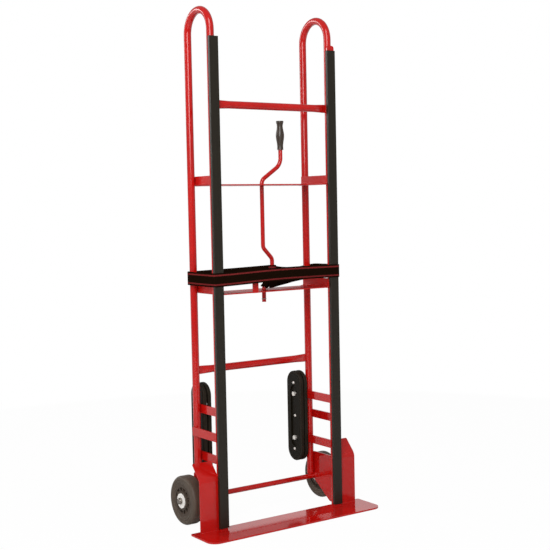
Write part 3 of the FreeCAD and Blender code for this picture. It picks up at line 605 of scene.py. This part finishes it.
# %% Cloth of the belt
stripe_cover = 0.9
painted_gap_shade = 0.4
cloth_roughness = 0.72
fuzz_dulling = 0.2

fuzz = tree.noise(tree.place(), scale=220.0, detail=4.0)
ground = tree.mix(fuzz, light(18, 9, 4), light(33, 19, 11))
thread = tree.mix(fuzz, light(110, 30, 32), light(142, 52, 52))
cloth = tree.mix(stripe * stripe_cover, ground, thread)
woven_belt = shade({
    # The low places of the weave are darkened towards near black: painted shade between the yarns.
    "Base Color": tree.mix((1.0 - weave) * painted_gap_shade, cloth, light(12, 8, 6)),
    "Roughness": cloth_roughness + fuzz * fuzz_dulling,
    "Specular IOR Level": 0.0,
    "Normal": tree.bump(weave, strength=0.4, depth=0.0004),
})

# %% [markdown]
# ## Dressing the solids
# Each solid already sits on its body, so dressing it means no more than putting a finish in its slots.
# The record says which slot a node has, and one table says which finish a slot gets.

# %% Finishes by slot
finishes = {
    "red_paint": red_enamel,
    "black_vinyl": strip_vinyl,
    "tyre_rubber": tyre_rubber,
    "wheel_black": wheel_black,
    "zinc_steel": zinc_plate,
    "woven_belt": woven_belt,
    "climber_rubber": climber_rubber,
    "climber_black": black_paint,
    "grip_rubber": grip_rubber,
}
own_finishes = {
    "axle_cap_nuts": dull_steel_and_painted_shade,
    "axle_washers": pale_zinc,
    # the ring under the belt is darkened with dull steel, partly as painted shade of the belt
    "crank_ring": dull_steel_and_painted_shade,
    "toe_plate": toe_enamel,
    "upper_shelf": scuffed_enamel,
    "lower_shelf": scuffed_enamel,
}
for part in frame["record"]["subparts"]:
    name = part["node"]
    solid = frame["nodes"][name]
    solid.data.materials.clear()
    solid.data.materials.append(own_finishes.get(name) or finishes[part["material_slot"]])

# %% [markdown]
# ## Welds
# The frame is welded together before it is sprayed. A bead of weld is a row of overlapping ripples, so
# here it is a thin round bar along a line, and its radius swells once for each ripple. The places come
# from the solids' boxes.

# %% Places on the frame
tube_low, tube_high = box_of("side_tube_right")
tube_radius = (tube_high.x - tube_low.x) / 2
x_tube = tube_high.x - tube_radius
y_rear = tube_high.y - tube_radius
print("rear tubes stand at x", round(x_tube, 4), "and y", round(y_rear, 4))

# %% A piece from a mesh in work
def made(work, name, material):
    """Turns a mesh in work into a piece of the scene with one finish."""
    bmesh.ops.recalc_face_normals(work, faces=work.faces)
    mesh = bpy.data.meshes.new(name)
    work.to_mesh(mesh)
    work.free()
    mesh.materials.append(material)
    piece = bpy.data.objects.new(name, mesh)
    scene.collection.objects.link(piece)
    return piece


def join_rings(work, ring, following):
    """Faces between two rings of points."""
    for spot in range(len(ring)):
        beside = (spot + 1) % len(ring)
        work.faces.new((ring[spot], ring[beside], following[beside], following[spot])).smooth = True


print("pieces are made from rings of points")

# %% Beads along lines
bead_radius = 0.0019
ripple_pitch = 0.0029
ripple_share = 0.24
bead_step = 0.0007
bead_sides = 8
blunt_least = 0.05


def bead_reach(index, count):
    """Radius of a bead at one of its spots: rippled along its length and blunt at both ends."""
    ripple = 1.0 - ripple_share + ripple_share * abs(math.sin(math.pi * index * bead_step / ripple_pitch))
    to_end = min(index, count - 1 - index) * bead_step
    blunt = math.sqrt(max(blunt_least, 1.0 - max(0.0, 1.0 - to_end / bead_radius) ** 2))
    return bead_radius * ripple * blunt


def add_bead(work, line):
    """Adds one rippled bead along a line of points to a mesh in work."""
    spots = [line[0]]
    for start, end in zip(line, line[1:]):
        count = math.ceil((end - start).length / bead_step)
        spots += [start.lerp(end, step / count) for step in range(1, count + 1)]
    rings = []
    for index, spot in enumerate(spots):
        forward = (spots[min(index + 1, len(spots) - 1)] - spots[max(index - 1, 0)]).normalized()
        side = forward.orthogonal().normalized() * bead_reach(index, len(spots))
        turns = [Matrix.Rotation(2 * math.pi * turn / bead_sides, 3, forward) for turn in range(bead_sides)]
        rings.append([work.verts.new(spot + turn @ side) for turn in turns])
    for ring, following in zip(rings, rings[1:]):
        join_rings(work, ring, following)
    work.faces.new(rings[0])
    work.faces.new(rings[-1])


def weld(name, lines):
    """One piece that holds the beads of like joints, and its mirror image on the other side."""
    work = bmesh.new()
    for line in lines:
        for side in (1, -1):
            add_bead(work, [Vector((side * x, y, z)) for x, y, z in line])
    piece = made(work, name, red_enamel)
    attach(piece, "frame")
    print(name, "has", 2 * len(lines), "beads")


print("a bead is up to", 2 * bead_radius, "m thick")

# %% Beads at the bars and shelves
bead_sink = 0.0006
end_margin = 0.003
crossbar_half = 0.0034
inner_side = tube_low.x + bead_sink
outer_side = tube_high.x - bead_sink


def upright_line(x, y, low, high):
    """A line that stands at one place, from a low to a high end."""
    return [(x, y, low), (x, y, high)]


lines = []
for name in ("top_crossbar", "low_crossbar"):
    low, high = box_of(name)
    for offset in (-crossbar_half, crossbar_half):
        y = (low.y + high.y) / 2 + offset
        lines.append(upright_line(inner_side, y, low.z + end_margin, high.z - end_margin))
weld("weld_crossbars", lines)

lines = []
for name in ("upper_shelf", "lower_shelf"):
    low, high = box_of(name)
    for y in (low.y, high.y):
        lines.append(upright_line(inner_side, y, low.z + 2 * end_margin, high.z - end_margin))
weld("weld_shelves", lines)

# %% Beads at the rungs
rung_bead_half = 0.006

lines = []
for name in ("upper_rung_right", "lower_rung_right"):
    low, high = box_of(name)
    lines.append(upright_line(inner_side, low.y, low.z, high.z))
    for z in (low.z, high.z):
        lines.append([(tube_low.x, y_rear - rung_bead_half, z), (tube_low.x, y_rear + rung_bead_half, z)])
low, high = box_of("middle_rung_right")
lines += [upright_line(outer_side, y, low.z, high.z) for y in (low.y, high.y)]
weld("weld_rungs", lines)

# %% Beads at the feet and the axle
plate_low, plate_high = box_of("wheel_plate_right")
fender_low, fender_high = box_of("fender_right")
axle_low, axle_high = box_of("axle")
axle_middle = (axle_low + axle_high) / 2
axle_bead_gap = 0.0008
ring_radius = (axle_high.z - axle_low.z) / 2 + axle_bead_gap
ring_steps = 36


def round_axle(x, radius, angle):
    """A point beside the axle, at a place along it, a radius and an angle."""
    return x, axle_middle.y + radius * math.cos(angle), axle_middle.z + radius * math.sin(angle)


weld("weld_feet", [
    [(x, fender_low.y, toe_high.z) for x in (fender_low.x + end_margin, fender_high.x - end_margin)],
    upright_line(outer_side, plate_high.y, axle_high.z + end_margin, plate_high.z - 4 * end_margin),
])
ring_angles = [2 * math.pi * step / ring_steps for step in range(ring_steps + 1)]
weld("weld_axle", [[round_axle(plate_low.x, ring_radius, angle) for angle in ring_angles]])

# %% [markdown]
# ## Tyres
# A solid rubber tyre is moulded on its wheel centre. Its wall bulges a little, carries two thin rings
# from the mould and turns into the tread over a round shoulder. All of that is one section turned round
# the axle, so a tyre is a list of places along the axle and radii, and a loop that turns them.

# %% Section of a tyre
tyre_high = box_of("tyre_right")[1]
core_high = box_of("wheel_core_right")[1]
tyre_radius = tyre_high.z - axle_middle.z
core_radius = core_high.z - axle_middle.z
tyre_width = 0.042
tyre_shoulder = 0.010
wall_dip = 0.003
ring_depth = 0.0013
ring_shares = (0.3, 0.78)
ring_sharpness = 26.0
wall_steps = 48
shoulder_steps = 10
tyre_turns = 128


def wall(share):
    """How far the wall stands back from its fullest place, at a share of the way to the shoulder."""
    groove = sum(math.exp(-(((share - place) * ring_sharpness) ** 2)) for place in ring_shares)
    return wall_dip * (1.0 - share) ** 2 + ring_depth * groove


def half_section():
    """Places from the wheel centre to the middle of the tread: back from the wall's face, and radius."""
    high = tyre_radius - tyre_shoulder
    for step in range(wall_steps):
        share = step / wall_steps
        yield wall(share), core_radius + (high - core_radius) * share
    for step in range(shoulder_steps + 1):
        angle = math.pi / 2 * step / shoulder_steps
        yield tyre_shoulder * (1.0 - math.cos(angle)), high + tyre_shoulder * math.sin(angle)


print("tyre section from radius", round(core_radius, 4), "to", round(tyre_radius, 4))

# %% Tyres turned round the axle
def tyre(side, body, node):
    """A tyre on one side, which stands for the plainer solid."""
    outer = [(side * (tyre_high.x - back), radius) for back, radius in half_section()]
    inner = [(side * (tyre_high.x - tyre_width + back), radius) for back, radius in half_section()]
    section = outer + inner[::-1]
    work = bmesh.new()
    rings = []
    for step in range(tyre_turns):
        angle = 2 * math.pi * step / tyre_turns
        rings.append([work.verts.new(round_axle(x, radius, angle)) for x, radius in section])
    for ring, following in zip(rings, rings[1:] + rings[:1]):
        join_rings(work, ring, following)
    piece = made(work, node + "_moulded", tyre_rubber)
    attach(piece, body)
    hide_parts(node)
    print(node, "is", tyre_width, "m wide")


tyre(1, "right_wheel", "tyre_right")
tyre(-1, "left_wheel", "tyre_left")

# %% [markdown]
# ## The belt
# The belt goes round the outside of the frame: across the front of both strips, back along the sides, and
# behind the rear tubes to the crank. Seen from above it is a line with rounded corners, and the webbing
# stands on edge along it. So a route is a list of corners, each with a radius, and a strap is a thin
# section swept along it.

# %% Places taken from the frame
strip_low, strip_high = box_of("vinyl_strip_right")
crank_low, crank_high = box_of("crank_rod")
winding_low, winding_high = box_of("belt_winding")
wrap_low = box_of("belt_bend_wrap")[0]

belt_lift = 0.0015
crank_throw = 0.032
crank_radius = (crank_high.y - crank_low.y) / 2
crank_depth = (crank_high.y + crank_low.y) / 2
x_belt = strip_high.x + belt_lift
y_belt = strip_low.y - belt_lift
throw = Vector((crank_throw, crank_depth))
print("belt passes the strips at x", round(x_belt, 4), "and y", round(y_belt, 4))

# %% [markdown]
# The section of the webbing is a flat shape with thin edges. Its map tells the weave where it is. The
# stripes show on one side only, so on the other side the map is moved on by one whole width, where no
# stripe is woven.

# %% Section of the webbing
half_width = belt_width / 2
half_thickness = belt_thickness / 2
edge_share = 0.7
inner_share = 0.4
flat_edge = half_width - half_thickness * edge_share
flat_inner = flat_edge * inner_share
belt_section = [
    (-half_width, 0.0), (-flat_edge, -half_thickness), (-flat_inner, -half_thickness),
    (flat_inner, -half_thickness), (flat_edge, -half_thickness),
    (half_width, 0.0), (flat_edge, half_thickness), (flat_inner, half_thickness),
    (-flat_inner, half_thickness), (-flat_edge, half_thickness),
]
print("webbing section has", len(belt_section), "corners")

# %% Webbing from stations
def webbing(name, stations, lengths, striped=-1):
    """A strap through stations. Each station turns a place across and through the strap into a point."""
    work = bmesh.new()
    woven = work.loops.layers.uv.new("woven")
    rings = []
    for station in stations:
        rings.append([work.verts.new(station(across, through)) for across, through in belt_section])
    count = len(belt_section)
    for index in range(len(rings) - 1):
        for spot in range(count):
            following = (spot + 1) % count
            corners = ((index, spot), (index + 1, spot), (index + 1, following), (index, following))
            face = work.faces.new([rings[ring][place] for ring, place in corners])
            face.smooth = True
            plain = (belt_section[spot][1] + belt_section[following][1]) * striped <= 0
            for loop, (ring, place) in zip(face.loops, corners):
                moved = 1.5 if plain else 0.5
                loop[woven].uv = (lengths[ring], belt_section[place][0] / belt_width + moved)
    for ring, length in ((rings[0], lengths[0]), (rings[-1], lengths[-1])):
        end_face = work.faces.new(ring)
        for loop, (across, through) in zip(end_face.loops, belt_section):
            loop[woven].uv = (length, across / belt_width + 0.5)
    piece = made(work, name, woven_belt)
    print(name, "is", round(lengths[-1], 3), "m long")
    return piece


# %% A strap that stands on edge along a line
def on_edge(point, forward):
    """A station whose strap stands upright beside its direction."""
    side = Vector((-forward.y, forward.x, 0.0)).normalized()
    up = forward.cross(side)
    return lambda across, through: point + up * across + side * through


def strap(name, line, striped=-1):
    """Webbing on edge along a line of 3-D points."""
    stations = []
    lengths = [0.0]
    for index, point in enumerate(line):
        before = line[max(index - 1, 0)]
        after = line[min(index + 1, len(line) - 1)]
        stations.append(on_edge(point, (after - before).normalized()))
        lengths.append(lengths[-1] + (after - point).length)
    return webbing(name, stations, lengths[:-1], striped)


print("straps stand", belt_width, "m high")

# %% [markdown]
# A route seen from above has corners, and each corner has a radius. Each rounded corner is an arc in
# small steps. Heights are given at a few places along the route and eased between them, as slack webbing
# eases.

# %% Routes with rounded corners
arc_step = math.radians(9)
straight_step = 0.006


def turned(vector, angle):
    """A plan vector turned to the left."""
    cosine = math.cos(angle)
    sine = math.sin(angle)
    return Vector((vector.x * cosine - vector.y * sine, vector.x * sine + vector.y * cosine))


def corner_points(before, corner, after, radius):
    """Points on the arc that rounds a corner."""
    into = (corner - before).normalized()
    out = (after - corner).normalized()
    turn = math.atan2(into.x * out.y - into.y * out.x, into.dot(out))
    side = math.copysign(1.0, turn)
    first = corner - into * radius * math.tan(abs(turn) / 2)
    centre = first + turned(into, side * math.pi / 2) * radius
    count = math.ceil(abs(turn) / arc_step)
    return [centre + turned(first - centre, turn * step / count) for step in range(count + 1)]


def rounded_route(corners, radii):
    """A plan route with rounded inner corners, and no step longer than the straight step."""
    points = [corners[0]]
    for before, corner, after, radius in zip(corners, corners[1:], corners[2:], radii):
        points += corner_points(before, corner, after, radius)
    points.append(corners[-1])
    line = [points[0]]
    for start, end in zip(points, points[1:]):
        count = math.ceil((end - start).length / straight_step)
        line += [start.lerp(end, step / count) for step in range(1, count + 1)]
    return line


print("corners are drawn in steps of", round(math.degrees(arc_step)), "degrees")

# %% Heights along a route
def eased(knots, place):
    """A smooth height through knots (place, height)."""
    index = max(i for i in range(len(knots) - 1) if place >= knots[i][0] or i == 0)
    (start, start_height), (end, end_height) = knots[index], knots[index + 1]
    before = knots[max(index - 1, 0)]
    after = knots[min(index + 2, len(knots) - 1)]
    start_slope = (end_height - before[1]) / (end - before[0])
    end_slope = (after[1] - start_height) / (after[0] - start)
    share = min(1.0, max(0.0, (place - start) / (end - start)))
    fall = (2 * share - 3) * share * share
    bend = (end - start) * share * (1 - share) * (start_slope * (1 - share) - end_slope * share)
    return start_height * (1 + fall) - end_height * fall + bend


def with_heights(route, knots):
    """A plan route lifted to heights at shares of its length."""
    lengths = [0.0]
    for start, end in zip(route, route[1:]):
        lengths.append(lengths[-1] + (end - start).length)
    heights = [eased(knots, length / lengths[-1]) for length in lengths]
    return [Vector((point.x, point.y, height)) for point, height in zip(route, heights)]


print("halfway between two heights the belt is at", eased([(0.0, 0.0), (1.0, 1.0)], 0.5))

# %% [markdown]
# A tight strap leaves a round tube along a tangent. The foot of that tangent is where the loop round the
# frame ends and a run to the crank begins, so the two meet behind the tube, where no seam shows. The left
# run goes to the back of the winding and the slack right run to its front, because both ends wind up when
# the crank turns one way.

# %% Tangents from the crank to the rear tubes
layer_gap = 0.0005
rod_gap = 0.0003
throw_turns = 1.5
layer_step = belt_thickness + layer_gap
first_turn = crank_radius + rod_gap + belt_thickness / 2
last_turn = first_turn + throw_turns * layer_step
slack_turn = last_turn + layer_step
wrap_radius = tube_radius + belt_lift
tail_lift = 2 * layer_step


def tangent(side, turn_radius, crossing, lift=0.0):
    """Feet of a tangent on the winding and on the back of a rear tube, and where it meets the belt's side."""
    wrap = wrap_radius + lift
    tube = Vector((side * x_tube, y_rear))
    apart = tube - throw
    facing = -1 if crossing else 1
    opening = math.acos((turn_radius - facing * wrap) / apart.length)
    normal = turned(apart.normalized(), facing * side * opening)
    start = throw + normal * turn_radius
    foot = tube + normal * wrap * facing
    along = (foot - start).normalized()
    return start, foot, foot + along * ((side * (x_belt + lift) - foot.x) / along.x)


left_start, left_foot, left_corner = tangent(-1, last_turn, False)
slack_start, right_foot, right_corner = tangent(1, slack_turn, True)
tail_start, _, tail_corner = tangent(1, slack_turn, False, tail_lift)
print("left tangent", round((left_foot - left_start).length, 3), "m")
print("right tangent", round((right_foot - slack_start).length, 3), "m")

# %% Loop round the frame
corner_radius = 0.0032
left_level = 0.734
front_belt_level = 0.7405
side_level = 0.7395
side_end_level = 0.7375
behind_level = 0.727
loop_knots = [
    (0.0, left_level), (0.23, left_level), (0.5, front_belt_level), (0.75, front_belt_level),
    (0.88, side_level), (0.95, side_end_level), (1.0, behind_level),
]

loop_route = rounded_route(
    [left_foot, left_corner, Vector((-x_belt, y_belt)), Vector((x_belt, y_belt)), right_corner, right_foot],
    [wrap_radius, corner_radius, corner_radius, wrap_radius],
)
belt_round = strap("belt_round_frame", with_heights(loop_route, loop_knots))
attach(belt_round, "frame")
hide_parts("belt_loop")

# %% [markdown]
# The runs lie between a tube that stands still and a crank that turns. Here both stay where they are
# drawn, on no body: the left run goes straight to the outer turn of the winding, and the slack right run
# bends once more, to the front of the winding.

# %% Tight run on the left
throw_level = (winding_low.z + winding_high.z) / 2
left_knots = [(0.0, left_level), (0.5, 0.7385), (1.0, throw_level)]

left_route = rounded_route([left_foot, left_start], [])
left_run = strap("belt_left_run_woven", with_heights(left_route, left_knots), 1)
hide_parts("belt_left_run")
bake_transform(left_run)

# %% Slack run and tail on the right
slack_corner_radius = 0.012
wrap_front = Vector((0.009, crank_depth - 0.0125))
slack_knots = [(0.0, behind_level), (0.33, 0.725), (0.58, 0.7217), (0.85, 0.7185), (1.0, 0.7135)]

slack_route = rounded_route([right_foot, slack_start, wrap_front], [slack_corner_radius])
right_run = strap("belt_right_run_woven", with_heights(slack_route, slack_knots))
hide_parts("belt_right_run")
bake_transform(right_run)

tail_reach = 0.03
tail_knots = [
    (0.0, 0.736), (0.26, 0.7317), (0.4, 0.7297), (0.54, 0.7309), (0.77, 0.7358), (0.93, 0.7425),
    (1.0, throw_level),
]
tail_end = Vector((tail_corner.x, y_rear - tail_reach))
tail_route = rounded_route([tail_end, tail_corner, tail_start], [wrap_radius + tail_lift])
tail = strap("belt_tail_woven", with_heights(tail_route, tail_knots))
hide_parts("belt_tail")
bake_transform(tail)

# %% [markdown]
# On the crank the webbing lies in turns, each one a thickness further out. On the throw the rod is
# straight. Lower down the belt is drawn round the bend, so there the same spiral follows the bent rod.

# %% Turns on the throw
turn_step = math.radians(12)


def spiral(turns, end_angle):
    """Angles, radii and lengths along a spiral that leaves at an angle."""
    count = round(turns * 2 * math.pi / turn_step)
    length = 0.0
    for step in range(count + 1):
        back = (count - step) * turn_step
        radius = first_turn + layer_step * step * turn_step / (2 * math.pi)
        length += radius * turn_step
        yield end_angle - back, radius, length


leaving_angle = math.atan2(left_start.y - throw.y, left_start.x - throw.x)
turns_line = [
    Vector((throw.x + radius * math.cos(angle), throw.y + radius * math.sin(angle), throw_level))
    for angle, radius, length in spiral(throw_turns, leaving_angle)
]
winding = strap("belt_turns_on_throw", turns_line)
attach(winding, "crank")
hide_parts("belt_winding")

# %% Bent rod
bend_radius = 0.014
bend_rise = 0.0155
bend_angle = math.atan2(crank_throw, bend_rise)
bend_share = 0.85
bend_start = 0.006
bend_turns = 1.5
rod_foot = wrap_low.z + layer_gap


def bent_rod(distance):
    """Middle of the bent rod at a distance along it, and its direction away from the bend."""
    angle = min(distance / bend_radius, bend_angle)
    beyond = max(0.0, distance - bend_radius * bend_angle)
    x = bend_radius * (1 - math.cos(angle)) + beyond * math.sin(angle)
    z = rod_foot + bend_radius * math.sin(angle) + beyond * math.cos(angle)
    return Vector((x, crank_depth, z)), Vector((math.cos(angle), 0.0, -math.sin(angle)))


print("rod bends by", round(math.degrees(bend_angle), 1), "degrees")

# %% Turns round the lower bend
def round_bend(angle, radius):
    """A station whose strap lies flat on the bent rod."""
    def station(across, through):
        middle, outward = bent_rod(bend_start + (across + half_width) * bend_share)
        reach = radius + through
        return middle + outward * reach * math.cos(angle) + Vector((0.0, reach * math.sin(angle), 0.0))
    return station


bend_spiral = list(spiral(bend_turns, -math.pi / 2))
bend_wrap = webbing(
    "belt_turns_on_bend",
    [round_bend(angle, radius) for angle, radius, length in bend_spiral],
    [length for angle, radius, length in bend_spiral],
)
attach(bend_wrap, "crank")
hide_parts("belt_bend_wrap")

# %% [markdown]
# ## End

# %% Finish
print("the truck is dressed")
